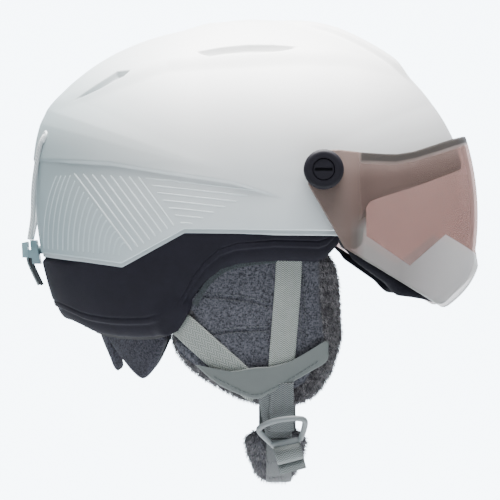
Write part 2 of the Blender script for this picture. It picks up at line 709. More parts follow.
camera = bpy.data.objects.new("camera", bpy.data.cameras.new("camera"))
bpy.context.scene.collection.objects.link(camera)
back = Vector((0, -1, 0))
camera.location = CAMERA_AIM + back * CAMERA_DISTANCE
camera.rotation_euler = (-back).to_track_quat("-Z", "Y").to_euler()
camera.data.sensor_width = 36.0
camera.data.lens = 18.0 * CAMERA_DISTANCE / HALF_FRAME
camera.data.clip_start = 0.1
camera.data.clip_end = 50.0
bpy.context.scene.camera = camera

world = bpy.data.worlds.new("studio")
bpy.context.scene.world = world
world.use_nodes = True
world.node_tree.nodes["Background"].inputs["Color"].default_value = (0.88, 0.95, 1.0, 1)
world.node_tree.nodes["Background"].inputs["Strength"].default_value = 0.16


def area_light(name, place, aim, size, power, colour=(1, 1, 1)):
    light = bpy.data.objects.new(name, bpy.data.lights.new(name, "AREA"))
    light.data.shape = "RECTANGLE"
    light.data.size, light.data.size_y = size
    light.data.energy = power
    light.data.color = colour
    light.location = place
    light.rotation_euler = (Vector(aim) - Vector(place)).to_track_quat("-Z", "Y").to_euler()
    bpy.context.scene.collection.objects.link(light)


area_light("top_light", (-0.02, 0.0, 1.3), (0, 0, 0), (1.2, 1.2), 175, (1.0, 0.99, 0.98))
area_light("front_fill", (1.3, -1.0, 0.45), (0, 0, 0), (1.2, 1.2), 1.5, (0.97, 0.98, 1.0))
area_light("side_key", (0.0, -1.2, 0.75), (0, 0, -0.03), (1.0, 0.8), 4.6, (0.96, 0.98, 1.0))


def backdrop():
    """Pale floor far below that sweeps up behind the object."""
    bend = [(2.2 + 1.2 * math.sin(a), 0.3 - 1.2 * math.cos(a)) for a in np.linspace(0, math.pi / 2, 14)]
    profile = [(-4.0, -0.9), *bend, (3.4, 4.0)]
    points = [(x, y, z) for y, z in profile for x in (-5.0, 5.0)]
    faces = [[2 * i, 2 * i + 1, 2 * i + 3, 2 * i + 2] for i in range(len(profile) - 1)]
    data = bpy.data.meshes.new("backdrop")
    data.from_pydata(points, [], faces)
    data.shade_smooth()
    obj = bpy.data.objects.new("backdrop", data)
    bpy.context.scene.collection.objects.link(obj)
    m, tree, shader = new_material("backdrop_paper", srgb(244, 248, 251), 0.9)
    shader.inputs["Emission Color"].default_value = (0.80, 0.905, 1.0, 1)
    reach = node(tree, "ShaderNodeVectorMath", operation="DISTANCE")
    link(coordinates(tree), reach.inputs[0])
    reach.inputs[1].default_value = (0.0, 3.35, -0.1)
    glow = node(tree, "ShaderNodeMapRange", interpolation_type="SMOOTHSTEP")
    for key, value in (("From Min", 0.62), ("From Max", 1.3), ("To Min", 8.0), ("To Max", 0.2)):
        glow.inputs[key].default_value = value
    link(reach.outputs["Value"], glow.inputs["Value"])
    link(glow.outputs["Result"], shader.inputs["Emission Strength"])
    data.materials.append(m)


backdrop()

# ---------------------------------------------------------------- white shell
# Offsets of the crown's middle line from the egg, in percent, by angle: 0 forward, 90 up, 180 rear.
CROWN_LINE = [
    (0, 0), (20, -1.8), (30, -2.2), (39, -1.6), (57, -0.8), (66, 0), (80, -0.8), (90, -0.7), (108, -2.8),
    (118, -1.4), (130, 0), (141, 1.2), (148, 2.2), (155, 3.8), (160, 3.6), (169, 1.7), (180, 0),
]
SIDE_CREASE = [
    (-122, 70), (-106, 74.5), (-60, 91.5), (-44.5, 97), (-7, 98.6), (31, 100.6), (61, 100.6), (97, 96),
    (125, 90),
]
PANEL_LINE = [(-125, 43.6), (-77, 40), (-44.5, 34.4), (-6.7, 28.7), (24, 19)]
VENT_REAR = [(-99, 76.2), (-86, 85.6), (-74.5, 93.6), (-66, 94.2), (-70, 90.6), (-84, 83.2)]
VENT_TOP = [
    (-28.6, 104), (-14, 106.4), (2.4, 107.9), (17, 107.9), (31.7, 106.9), (24, 105), (14.7, 103.6),
    (-8, 102.6), (-20.4, 101.2),
]


def rib_lines():
    """Raised lines of the rear panel in the side view: three fans, each with a half width."""
    lines = []
    for k in range(7):
        t = k / 6
        lines.append(([(-57.6 + 20.6 * t, 31.5 - 25.7 * t), (8.1 - 38.3 * t, 24.1 - 18.9 * t)], 0.5))
    for k in range(8):
        lines.append(([(-61.6 - 5.5 * k, 32.1 + 0.4 * k), (-41.0 - 3.5 * k, 4.1 - 2.05 * k)], 0.62))
    for k in range(-3, 13):
        top = np.array([-102.5 + 2.75 * k, 33.8 - 3.3 * max(k, 0)])
        foot = np.array([-110.5 + 3.1 * k, -9.8 - 0.25 * k])
        bow = np.array([-5.0 + 0.3 * k, 6.0])
        middle = top * 0.45 + foot * 0.55 + bow * 0.75
        curve = [(1 - t) ** 2 * top + 2 * t * (1 - t) * middle + t * t * foot for t in np.linspace(0, 1, 6)]
        lines.append((curve, 0.6))
    return lines


def shell_surface(z, angle):
    """Outside of the white shell, with its facets, spine, vents and raised lines."""
    p = egg(SHELL, z, angle)
    n = egg_normal(SHELL, p)
    x, y = p[..., 0], p[..., 1]
    around = np.degrees(np.arctan2(np.clip((z - CENTRE_Z) / SHELL[2], 0, 1), (x - CENTRE_X) / SHELL[0]))
    middle = np.cos(angle) ** 2
    up = np.clip((z - CENTRE_Z) / SHELL[2], 0, 1)
    share = np.maximum(middle, smooth((up - 0.93) / 0.07))
    h = table(CROWN_LINE, around) * 1.2 * share * smooth((z - 30.0) / 12.0)
    spine = smooth((29.5 - np.abs(y)) / 5.0) * smooth((x - 14.0) / 32.0)
    spine = spine * smooth((101.0 - x) / 14.0) * smooth((z - 60) / 20)
    h = h + 2.9 * spine
    crease = z - table(SIDE_CREASE, x)
    h = h + 1.7 * smooth((crease + 4.5) / 9.0) * smooth((z - 60.0) / 15.0) * (1 - 0.6 * share)
    panel = table(PANEL_LINE, x) - z
    fade = smooth((26.0 - x) / 30.0) * (1 - 0.55 * smooth((-95.0 - x) / 22.0))
    h = h - 1.7 * smooth((panel + 1.0) / 2.2) * fade
    for outline, depth in ((VENT_REAR, 3.0), (VENT_TOP, 3.2)):
        inside = polygon_depth(x, z, outline)
        h = h - depth * smooth((inside + 0.15) / 1.3)
    return p + n * h[..., None], n


def shell_rows(angle):
    """Height of the white shell's edge for each plan angle."""
    edge = np.zeros_like(angle)
    for _ in range(40):
        x = egg(SHELL, edge, angle)[..., 0]
        edge = 0.5 * edge + 0.5 * table(EDGE + FACE, x)
    return edge


FINE = 1
ROW_SPLIT = 46.0
columns = 1320 // FINE
angle = np.linspace(0, 2 * math.pi, columns, endpoint=False)
edge = shell_rows(angle)
lower = np.linspace(0, 1, 118 // FINE)[:, None]
split = np.maximum(edge + 4, ROW_SPLIT)
rows_low = edge[None] + (split - edge)[None] * lower
start = np.arcsin(np.clip((split - CENTRE_Z) / SHELL[2], 0, 1))
upper = np.linspace(0, 1, 190 // FINE + 1)[1:, None]
rows_high = CENTRE_Z + SHELL[2] * np.sin(start[None] + (math.pi / 2 - 0.004 - start[None]) * upper)
heights = np.vstack([rows_low, rows_high])
angles = np.broadcast_to(angle, heights.shape)
skin, normal = shell_surface(heights, angles)
above_edge = heights - edge[None]
lip = smooth((2.6 - above_edge) / 1.0)
skin = skin - normal * (1.3 * lip)[..., None]
inner = skin - normal * 2.4
points, faces = solid_sheet(skin[::-1], inner[::-1], wrap=True, rim=4)
mesh("shell", points, faces, SHELL_PAINT, "helmet", ["outer_shell"])


def shell_place(x, z, sign):
    """Points and normals on the shell's outside from places in the side view."""
    reach = SHELL[0] * np.sqrt(1 - ((z - CENTRE_Z) / np.where(z > CENTRE_Z, SHELL[2], SHELL[3])) ** 2)
    return shell_surface(z, sign * np.arccos(np.clip((x - CENTRE_X) / reach, -1, 1)))


def panel_ribs(lines):
    """Raised lines on both sides of the shell."""
    parts = []
    for line, half in lines:
        flat = spline(line, 40 // FINE)
        for sign in (-1, 1):
            path, out = shell_place(flat[:, 0], flat[:, 1], sign)
            radius = half * np.clip(np.sin(np.linspace(0.12, math.pi - 0.12, len(path))) * 5, 0, 1)
            parts.append(tube(path - out * 0.12, radius, 10, 0.62, up=out))
    return joined(parts)


for name, fans, material in (
    ("panel_ribs", slice(0, 15), RIB_PAINT),
    ("nape_ribs", slice(15, None), NAPE_RIB_PAINT),
):
    points, faces = panel_ribs(rib_lines()[fans])
    mesh(name, points, faces, material, "helmet")

trim_rows = edge[None] + np.linspace(2.7, -0.1, 6)[:, None]
trim_skin, trim_normal = shell_surface(trim_rows, np.broadcast_to(angle, trim_rows.shape))
points, faces = solid_sheet(trim_skin - trim_normal * 0.75, trim_skin - trim_normal * 2.0, wrap=True, rim=2)
mesh("edge_trim", points, faces, TRIM_PAINT, "helmet")

parts = []
for outline, inset in ((VENT_REAR, 2.5), (VENT_TOP, 2.7)):
    hub = np.mean(np.array(outline), axis=0)

    def vent_floor(x, z):
        return egg_side(SHELL, x, z, -inset)

    for sign in (-1, 1):
        parts.append(pillow(outline, hub, vent_floor, 0.7, sign, rings=10, count=90, edge=0.4))
points, faces = joined(parts)
mesh("vent_inserts", points, faces, VENT_FLOOR, "helmet", ["vent_grilles"])

# ---------------------------------------------------------------- black lower shell and foam liner
def lower_edge(angle, size, grow):
    """Height of the black shell's edge for each plan angle."""
    level = np.full_like(angle, -40.0)
    for _ in range(60):
        x = egg(size, level, angle, grow)[..., 0]
        level = 0.6 * level + 0.4 * table(ARCH, x)
    return level


SIDE_SPAN = math.radians(57.5)
half_angle = np.linspace(SIDE_SPAN, 2 * math.pi - SIDE_SPAN, 900 // FINE)
bottom = lower_edge(half_angle, SHELL, -2.6)
top = np.minimum(shell_rows(half_angle) + 6.0, 12.0)
v = np.linspace(0, 1, 90 // FINE)[:, None]
levels = top[None] + (bottom - top)[None] * v
black_angles = np.broadcast_to(half_angle, levels.shape)
black = egg(SHELL, levels, black_angles, -2.6)
black_normal = egg_normal(SHELL, black)
to_edge = levels - bottom[None]
roll = np.clip(1 - to_edge / 7.0, 0, 1)
inset = 3.0 * (1 - np.sqrt(np.clip(1 - roll**2, 0, 1)))
band = smooth((9.5 - to_edge) / 1.6) * 1.1
seam = 0.5 * np.exp(-(((levels - bottom[None] - 12.5) / 0.5) ** 2))
over_strap = smooth((17.0 - np.hypot(black[..., 0] + 39.0, levels + 52.0)) / 9.0)
nape = 2.4 * smooth((-94.0 - black[..., 0]) / 20.0) * smooth((shell_rows(half_angle)[None] - levels) / 3.0)
proud = nape + 1.4 * over_strap - (inset + band + seam) * (1 - over_strap)
black = black + black_normal * proud[..., None]
points, faces = solid_sheet(black, black - black_normal * 2.2, rim=3)
mesh("black_shell", points, faces, BLACK_SHELL, "helmet", ["lower_shell"])

liner_edge = np.where(np.cos(angle) > math.cos(SIDE_SPAN - 0.02), edge + 3.5, lower_edge(angle, SHELL, -5.0))
t = np.linspace(0, 1, 80)[:, None] ** 0.9
liner_top = math.pi / 2 - 0.01


def liner_rows(size, grow, edges):
    """Heights from the crown down to the liner's edge."""
    rise, drop = size[2] + grow, size[3] + grow
    span = np.where(edges > CENTRE_Z, rise, drop)
    low = np.arcsin(np.clip((edges - CENTRE_Z) / span, -1, 1))
    turn = liner_top + (low - liner_top)[None] * t
    return CENTRE_Z + np.where(turn > 0, rise, drop) * np.sin(turn)


outer_rows = liner_rows(SHELL, -6.6, liner_edge)
inner_rows = liner_rows(CAVITY, 0.0, liner_edge)
wide = np.broadcast_to(angle, outer_rows.shape)
outer_liner = egg(SHELL, outer_rows, wide, -6.6)
inner_liner = egg(CAVITY, inner_rows, wide, 0.0)
n_out = egg_normal(SHELL, outer_liner)
roll = np.clip(1 - (outer_rows - liner_edge[None]) / 12.0, 0, 1)
tuck = 7.5 * (1 - np.sqrt(np.clip(1 - roll**2, 0, 1))) * (np.cos(wide) < math.cos(SIDE_SPAN))
outer_liner = outer_liner - n_out * tuck[..., None]
step = slice(None, None, 2)
points, faces = solid_sheet(outer_liner[:, step], inner_liner[:, step], wrap=True, rim=6)
mesh("foam_liner", points, faces, LINER, "helmet", ["eps_liner"])

# ---------------------------------------------------------------- visor
REAR_LOW = (35.9, 28.6)  # the lens's edge behind the pivot runs from here
SIDE_LOW = (57.2, -7.9)  # down to here, and then forward at this slope
SIDE_SLOPE = -0.5914
LENS_ROUND = 10.5
LENS_TOP = [
    (PIVOT[0], PIVOT[1] + LENS_ROUND), (53, 47), (66, 45.6), (80, 44.8), (88, 44.9), (98, 46.6),
    (110, 50.6), (122, 54.8), (130.8, 57.4), (140, 58.6),
]


def lens_points(z, angle, grow=0.0):
    return egg(LENS, z, angle, grow, cx=0.0, cz=LENS_Z)


def lens_top(x):
    round_end = PIVOT[1] + np.sqrt(np.clip(LENS_ROUND**2 - (x - PIVOT[0]) ** 2, 0, None))
    return np.where(x < PIVOT[0], round_end, table(LENS_TOP, x))


def nose_line(y):
    """Height of the nose edge across the lens."""
    return -18.6 - 24.7 * np.clip(np.abs(y) - 3.0, 0, None) / 42.0


def lens_level(rule, start, angle, grow=0.0):
    """Height on the lens for each plan angle where rule(x, y) gives that same height."""
    level = np.full_like(angle, start)
    for _ in range(60):
        p = lens_points(level, angle, grow)
        level = 0.5 * level + 0.5 * rule(p[..., 0], p[..., 1])
    return level


def lens_bottom(x, y):
    rear_low = PIVOT[1] - np.sqrt(np.clip(LENS_ROUND**2 - (x - PIVOT[0]) ** 2, 0, None))
    drop, reach = REAR_LOW[1] - SIDE_LOW[1], SIDE_LOW[0] - REAR_LOW[0]
    back_edge = REAR_LOW[1] - (x - REAR_LOW[0]) * drop / reach
    side = SIDE_LOW[1] + SIDE_SLOPE * (x - SIDE_LOW[0])
    low = np.where(x < REAR_LOW[0], rear_low, np.where(x < SIDE_LOW[0], back_edge, side))
    notch = np.where(x > 90, nose_line(y), -200.0)
    return np.maximum(low, notch) + 0.7 * np.exp(-(((low - notch) / 1.4) ** 2))


end = math.acos(34.3 / LENS[0] / 0.985)
spread = np.linspace(-1, 1, 640 // FINE + 1)
lens_angle = end * spread * (0.90 + 0.10 * np.abs(spread))
lens_low = lens_level(lens_bottom, 0.0, lens_angle)
lens_high = lens_level(lambda x, y: lens_top(x), 40.0, lens_angle)
lens_high = np.maximum(lens_high, lens_low + 0.6)
v = np.linspace(0, 1, 96 // FINE)[:, None]
lens_z = lens_high[None] + (lens_low - lens_high)[None] * v
lens_a = np.broadcast_to(lens_angle, lens_z.shape)
outer_lens = lens_points(lens_z, lens_a)
lens_n = egg_normal(LENS, outer_lens, 0.0, LENS_Z)
# A facet along the nose edge: wide in the middle and gone at the tip of the beak.
notch_gap = lens_z - nose_line(outer_lens[..., 1])
facet = 9.5 * np.clip(1 - np.abs(outer_lens[..., 1]) / 45.0, 0, 1)
flare = np.where(outer_lens[..., 0] > 95, np.clip(facet - notch_gap, 0, None), 0) * 0.34
outer_lens = outer_lens + lens_n * flare[..., None]
points, faces = solid_sheet(outer_lens, outer_lens - lens_n * 2.0, rim=3)
lens = mesh("lens", points, faces, LENS_TINT, "visor", ["visor_lens"])


def inner_pane():
    """Thin inner lens behind the tinted one, inside the window's outline."""
    pane_angle = np.linspace(-1.058, 1.058, 240)
    low = lens_level(lambda x, y: table(WINDOW_EDGE, x) - 1.5, 0.0, pane_angle)
    high = lens_level(lambda x, y: table(TOP_STRIP, x) + 0.5, 40.0, pane_angle)
    z = high[None] + (low - high)[None] * np.linspace(0, 1, 40)[:, None]
    p = lens_points(z, np.broadcast_to(pane_angle, z.shape), -3.0)
    n = egg_normal(LENS, p, 0.0, LENS_Z)
    return solid_sheet(p, p - n * 0.8)


def tinted(tree, low, high):
    """See-through surface whose tint drifts between two colours."""
    see = node(tree, "ShaderNodeBsdfTransparent")
    cloud = noise(tree, coordinates(tree), 30.0, 2.0)
    link(ramp(tree, cloud, [(0.3, low), (0.7, high)]), see.inputs["Color"])
    return see.outputs[0]


def lens_back():
    """The lens's inner side: its tint only."""
    m, tree, shader = new_material("lens_back", (0.6, 0.55, 0.54, 1), 0.05)
    see = tinted(tree, (0.61, 0.54, 0.53, 1), (0.63, 0.555, 0.545, 1))
    link(see, tree.nodes["Material Output"].inputs["Surface"])
    tree.nodes.remove(shader)
    return m


lens.data.materials.append(lens_back())
row_of = np.arange(len(lens.data.polygons)) // (outer_lens.shape[1] - 1)
back_rows = (row_of >= len(outer_lens) + 2) & (row_of < 2 * len(outer_lens) + 3)
lens.data.polygons.foreach_set("material_index", back_rows.astype(np.int32))


def clear_pane_material():
    """Almost clear, with a trace of gloss."""
    m, tree, shader = new_material("inner_pane", (0.9, 0.9, 0.9, 1), 0.05)
    see = tinted(tree, (0.985, 0.975, 0.97, 1), (0.995, 0.985, 0.98, 1))
    shine = node(tree, "ShaderNodeBsdfGlossy")
    shine.inputs["Roughness"].default_value = 0.05
    mix_surface(tree, 0.002, see, shine.outputs[0])
    tree.nodes.remove(shader)
    return m


points, faces = inner_pane()
mesh("inner_pane", points, faces, clear_pane_material(), "visor", ["visor_inner_lens"])


FOAM_HANG = [
    (57, 1.6), (60.9, 2.2), (64.9, 4.2), (74.3, 5.2), (85.2, 6.2), (89.5, 8), (92, 8.7), (99.6, 5.2),
    (109.8, 1), (113, 0.3), (118, 0),
]


def face_seal():
    """Soft black foam along the visor's lower edge and round the nose."""
    span = np.linspace(-1.152, 1.152, 264)
    low = lens_level(lens_bottom, 0.0, span, -3.0)
    p = lens_points(low, span, -3.0)
    x, y = p[..., 0], np.abs(p[..., 1])
    hang = table(FOAM_HANG, x)
    depth = 9.0 * smooth((x - 56.0) / 10.0) * smooth((119.0 - x) / 12.0) + 0.5
    sections = []
    for a in np.linspace(0, 2 * math.pi, 16, endpoint=False):
        across = (0.5 - 0.5 * np.sign(math.cos(a)) * abs(math.cos(a)) ** 0.6) * depth + 0.4
        rise = low + 0.9 * (0.5 + 0.5 * math.sin(a)) - hang * (0.5 - 0.5 * math.sin(a))
        q = lens_points(rise, span, -2.6)
        n = egg_normal(LENS, q, 0.0, LENS_Z)
        sections.append(q - n * np.asarray(across)[..., None])
    stack = np.stack(sections + sections[:1])
    rows, columns = stack.shape[:2]
    points = stack[:-1].reshape(-1, 3)
    faces = []
    for r in range(rows - 1):
        m = (r + 1) % (rows - 1)
        for c in range(columns - 1):
            faces.append([r * columns + c, r * columns + c + 1, m * columns + c + 1, m * columns + c])
    faces.append([r * columns for r in range(rows - 1)])
    faces.append([r * columns + columns - 1 for r in range(rows - 1)][::-1])
    return points, faces


points, faces = face_seal()
seal = mesh("face_seal", points, faces, FACE_FOAM, "visor", ["visor_face_foam"])


def recolour(material, *names):
    """Gives CAD nodes that stay visible a material."""
    for name in names:
        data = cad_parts[name].data
        data.materials.clear()
        data.materials.append(material)


recolour(KNOB_PLASTIC, "visor_knob_right", "visor_lock_right", "visor_knob_left", "visor_lock_left")
recolour(STEEL, "pivot_bushing_right", "pivot_bushing_left")

# ---------------------------------------------------------------- ear pads
PAD_OUTLINE = [
    (46, -9), (52, -20), (54.3, -36), (54.8, -50), (55.6, -58.5), (53, -69), (49, -81), (40.5, -92.5),
    (28.5, -97.8), (12, -98.2), (-3, -94.2), (-14, -88.6), (-25.4, -81.6), (-34, -74.5), (-40, -65),
    (-41, -57), (-34, -42), (-22, -22), (-4, -12), (20, -10),
]
RIM_LINE = [
    (43, -12), (43.4, -22), (43.6, -36), (45.5, -52), (46.2, -61), (42, -74), (35, -86), (26, -91.5),
    (10, -93), (-4, -90), (-16, -84), (-30, -75), (-39, -66),
]


PAD_SEAMS = [
    [(-30.0, -31.0), (-23.0, -35.6), (-11.2, -36.6), (3.0, -38.4), (15.4, -42.0)],
    [(-31.0, -54.5), (-22.5, -58.0), (-5.5, -55.6), (15.4, -54.8)],
    [(31.5, -20.0), (33.0, -40.0), (34.0, -62.0)],
]


def ear_side(x, z):
    return egg_side(EAR, x, z)


def felt_panel(x, z):
    """Sewn channels in the felt: two arcs and the rim's seam."""
    seam = np.minimum.reduce([line_distance(run, x, z) for run in PAD_SEAMS])
    line = line_distance(RIM_LINE, x, z)
    under_shell = 4.8 * smooth((17.0 - np.hypot(x + 41.0, z + 50.0)) / 12.0)
    return 1.0 * np.exp(-((seam / 1.1) ** 2)) + 1.6 * np.exp(-((line / 1.3) ** 2)) + under_shell


inner_outline = RIM_LINE + [(-38.0, -52.0), (-30.0, -36.0), (-20.0, -22.0), (-4.0, -12.0), (20.0, -10.0)]
for side, sign in (("right", -1), ("left", 1)):
    points, faces = pillow(
        PAD_OUTLINE, (12.0, -54.0), lambda x, z: ear_side(x, z) - 1.2, 12.5, sign, edge=0.55
    )
    backing = mesh(f"ear_backing_{side}", points, faces, PLUSH, "helmet", [f"ear_pad_{side}"])
    fine = {"rings": 60, "count": 300, "edge": 0.7, "dent": felt_panel}
    pts, fcs = pillow(
        inner_outline, (10.0, -50.0), lambda x, z: ear_side(x, z) + 0.2, 3.2, sign, **fine
    )
    panel = mesh(f"ear_felt_{side}", pts, fcs, FELT, "helmet")

    def on_rim(p):
        outside = polygon_depth(p[:, 0], p[:, 2], inner_outline) < 1.0
        return outside & (p[:, 2] < -11.5)

    place, way = hair_places(points, faces, on_rim, 13000 // FINE, 5 if sign < 0 else 6)
    outwards = np.sign(np.sum(way * (place - np.array([12.0, sign * 84.0, -54.0])), axis=1))[:, None]
    hp, hf = fur(place, way * outwards, 2.7, 0.42, 7 if sign < 0 else 8, lean=(0.1, 0, -1.1))
    mesh(f"ear_fur_{side}", hp, hf, HAIR, "helmet", smooth_faces=False)

# ---------------------------------------------------------------- webbing on the ear pads
def side_path(points, sign, grow, count=60, tuck=0.0):
    """A line of the side view laid on the ear pads, its start tucked inwards, with its normals."""
    p = spline(points, count)
    if tuck:
        run = run_along(p)
        grow = grow - tuck * smooth(1 - run / 22.0)
    y = egg_side(EAR, p[:, 0], p[:, 1], grow)
    path = np.stack([p[:, 0], sign * y, p[:, 1]], -1)
    return path, egg_normal(EAR, path)


WEB_WIDTH = 15.0
FRONT_LINE = [(25.4, -11), (24.6, -30), (22.6, -56), (20.6, -80), (18.8, -92)]
REAR_LINE = [(-47.5, -42), (-40.5, -48.6), (-33, -55.5), (-8.9, -77.2), (2, -87), (8, -91)]
for side, sign in (("right", -1), ("left", 1)):
    for name, line, grow, tuck in (
        ("front_webbing", FRONT_LINE, 1.2, 1.0),
        ("rear_webbing", REAR_LINE, 0.7, 9.5),
    ):
        path, out = side_path(line, sign, grow, tuck=tuck)
        p, f, uv = strap(path, out, WEB_WIDTH, 1.4)
        node_name = name.replace("webbing", "strap")
        mesh(f"{name}_{side}", p, f, WEBBING, "helmet", [f"{node_name}_{side}"], uv=uv)

# ---------------------------------------------------------------- strap guard
GUARD_OUTLINE = [
    (-28.6, -75.3), (-24, -77.6), (-14, -79.6), (-4, -78.6), (6, -76.8), (15.4, -76.2), (26.4, -73.2),
    (37, -67.4), (47, -61.8), (48, -67), (47, -73.6), (38, -79.4), (28.6, -84.8), (24, -88), (14, -92.2),
    (6.2, -95.2), (-3, -92.6), (-12.7, -88.2), (-21, -82.4),
]


def stitches(path, out, pitch=2.6, length=1.7, radius=0.28):
    """A row of thread stitches along a path."""
    path = np.asarray(path)
    run = run_along(path)
    parts = []

    def at(values, s):
        return np.array([np.interp(s, run, values[:, k]) for k in range(3)])

    for s in np.arange(pitch, run[-1] - pitch, pitch):
        a, b, o = at(path, s - length / 2), at(path, s + length / 2), at(out, s)
        raised = [(a * 3 + b) / 4 + o * 0.18, (a + 3 * b) / 4 + o * 0.18]
        parts.append(tube([a - o * 0.15, *raised, b - o * 0.15], radius, 6))
    return joined(parts)


GUARD_SEAM = [(-19, -81.6), (-11, -85.8), (4, -92.6), (14, -90.2), (26.6, -83.2), (44, -72.4)]
BINDING_LINE = [(30, -14.6), (6, -16.6), (-10, -20.2), (-19, -26.4), (-25, -34.5), (-28.6, -41)]
for side, sign in (("right", -1), ("left", 1)):
    coarse = {"rings": 18, "count": 260, "edge": 0.6}
    points, faces = pillow(
        GUARD_OUTLINE, (12.0, -83.0), lambda x, z: egg_side(EAR, x, z, 4.0), 2.0, sign, **coarse
    )
    mesh(f"strap_guard_{side}", points, faces, GUARD, "helmet", [f"strap_sling_{side}"])
    path, out = side_path(GUARD_SEAM, sign, 4.1, 80)
    p, f = stitches(path, out)
    mesh(f"guard_stitches_{side}", p, f, THREAD, "helmet")
    rows = []
    for run in PAD_SEAMS:
        upright = run is PAD_SEAMS[2]
        for shift in (-1.5, 1.5):
            beside = [(x + shift, z) if upright else (x, z + shift) for x, z in run]
            path, out = side_path(beside, sign, 0.2, 60)
            rows.append(stitches(path, out, 2.2, 1.1, 0.17))
    p, f = joined(rows)
    mesh(f"felt_stitches_{side}", p, f, LIGHT_THREAD, "helmet")
    path, out = side_path(BINDING_LINE, sign, 0.4, 80)
    p, f, uv = strap(path, out, 3.4, 1.2)
    mesh(f"pad_binding_{side}", p, f, BINDING, "helmet", uv=uv)


# ---------------------------------------------------------------- chin loop
def chin_path(low, high, grow, count, x):
    """Points and normals along the loop between two angles from straight down."""
    a = np.radians(np.linspace(low, high, count))
    r = CHIN_RADIUS + grow
    along = np.linspace(x[0], x[1], count)
    path = np.stack([along, r * np.sin(a), CHIN_CENTRE_Z - r * np.cos(a)], -1)
    out = np.stack([0 * a, np.sin(a), -np.cos(a)], -1)
    return path, out


def chin_web(name, low, high, grow, count, x, width, material, replaces=(), blend=None):
    """A length of the loop's webbing, bending from the helmet where blend says so."""
    path, out = chin_path(low, high, grow, count, x)
    p, f, uv = strap(path, out, width, 1.5)
    obj = mesh(name, p, f, material, None if blend else "chin_loop", replaces, uv=uv)
    if blend:
        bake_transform(obj)


LOOP_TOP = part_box("chin_strap_right")[1].z
HANG = ("helmet", "chin_loop", (0.0195, 0, LOOP_TOP + 0.006), (0.0195, 0, LOOP_TOP - 0.012))
chin_web(
    "chin_web_right", -71.5, -47.0, np.linspace(-3.2, -0.2, 40), 40, (15.5, 20.0),
    np.linspace(19.0, 15.0, 40), WEBBING_DARK, ["chin_strap_right"], blend=HANG,
)
chin_web(
    "chin_ply_right", -71.0, -52.0, np.linspace(-1.9, 1.3, 30), 30, (21.5, 21.0),
    np.linspace(13.0, 15.0, 30), WEBBING_DARK, blend=HANG,
)
chin_web(
    "chin_web_under", -47.5, 42.5, 0.0, 120, (CHIN_X, CHIN_X), WEB_WIDTH, WEBBING_LOW, ["chin_strap_left"]
)
chin_web(
    "chin_web_left", 58.5, 67.0, 0.0, 24, (CHIN_X, 18.0), WEB_WIDTH, WEBBING, ["buckle_strap"], blend=HANG
)

# The free end of the strap: it comes out under the adjuster's lower bar and folds back on itself.
TAIL = [
    (-69.5, -121), (-74, -123.2), (-77, -126), (-76.6, -129.6), (-73.4, -131.2), (-70, -129.6),
    (-69.4, -131.6), (-71, -134.2), (-70.4, -137.4),
]
tail = spline([(23.8 + 0.26 * (-121.0 - z), y, z) for y, z in TAIL], 80)
ahead = np.gradient(tail, axis=0)
p, f, uv = strap(tail, np.cross(np.array([0.968, 0.0, 0.25]), ahead), 15.6, 1.6)
mesh("strap_end", p, f, TAIL_WEBBING, "chin_loop", ["strap_tail"], uv=uv)


CUSHION_X = 18.2
CUSHION_RADIUS = CHIN_RADIUS - 6.4


def chin_cushion():
    """Plush sleeve along the bottom of the loop, lumpy, thick in the middle and closed at its ends."""
    count = 110
    a = np.radians(np.linspace(-47.0, 39.5, count))
    end = np.clip(1 - np.abs(np.linspace(-1, 1, count)) ** 9, 0.02, 1) ** 0.5
    half = 12.0 + 6.8 * smooth((np.abs(np.degrees(a) + 4.0) - 8.0) / 30.0)
    rows = []
    sides = 48
    for k in range(sides):
        b = 2 * math.pi * k / sides
        across = np.sign(math.cos(b)) * abs(math.cos(b)) ** 0.7 * half * end
        across = across * (1 + 0.05 * np.sin(a * 19 + 1.0) * (math.cos(b) < 0))
        deep = np.sign(math.sin(b)) * abs(math.sin(b)) ** 0.8 * 5.4 * end
        lump = 0.9 * np.sin(a * 23 + b * 2) + 0.6 * np.sin(a * 41 - b * 3)
        curl = 5.0 * (across / 18.8) ** 2
        r = CUSHION_RADIUS + deep - curl + lump * math.sin(b) * end
        rows.append(np.stack([CUSHION_X + across, r * np.sin(a), CHIN_CENTRE_Z - r * np.cos(a)], -1))
    stack = np.stack(rows, 1)
    faces = grid_faces(count, sides, wrap=True)
    faces += end_caps(count, sides)
    return stack.reshape(-1, 3), faces


points, faces = chin_cushion()
cushion = mesh("chin_cushion", points, faces, CHIN_FELT, "chin_loop", ["chin_pad"])


def hairy(p):
    """Everywhere but the middle of the cushion beside the adjuster."""
    return (np.abs((p[:, 0] - CUSHION_X) / 9.0) > 0.55) | (p[:, 1] > -52)


place, way = hair_places(points, faces, hairy, 9000 // FINE, 11)
turn = np.arctan2(place[:, 1], CHIN_CENTRE_Z - place[:, 2])
middle_y, middle_z = CUSHION_RADIUS * np.sin(turn), CHIN_CENTRE_Z - CUSHION_RADIUS * np.cos(turn)
centre = np.stack([np.full(len(place), CUSHION_X), middle_y, middle_z], -1)
outwards = np.sign(np.sum(way * (place - centre), axis=1))[:, None]
hp, hf = fur(place, way * outwards, 3.0, 0.4, 12, lean=(0, 0, -0.3))
mesh("chin_fur", hp, hf, HAIR, "chin_loop", smooth_faces=False)


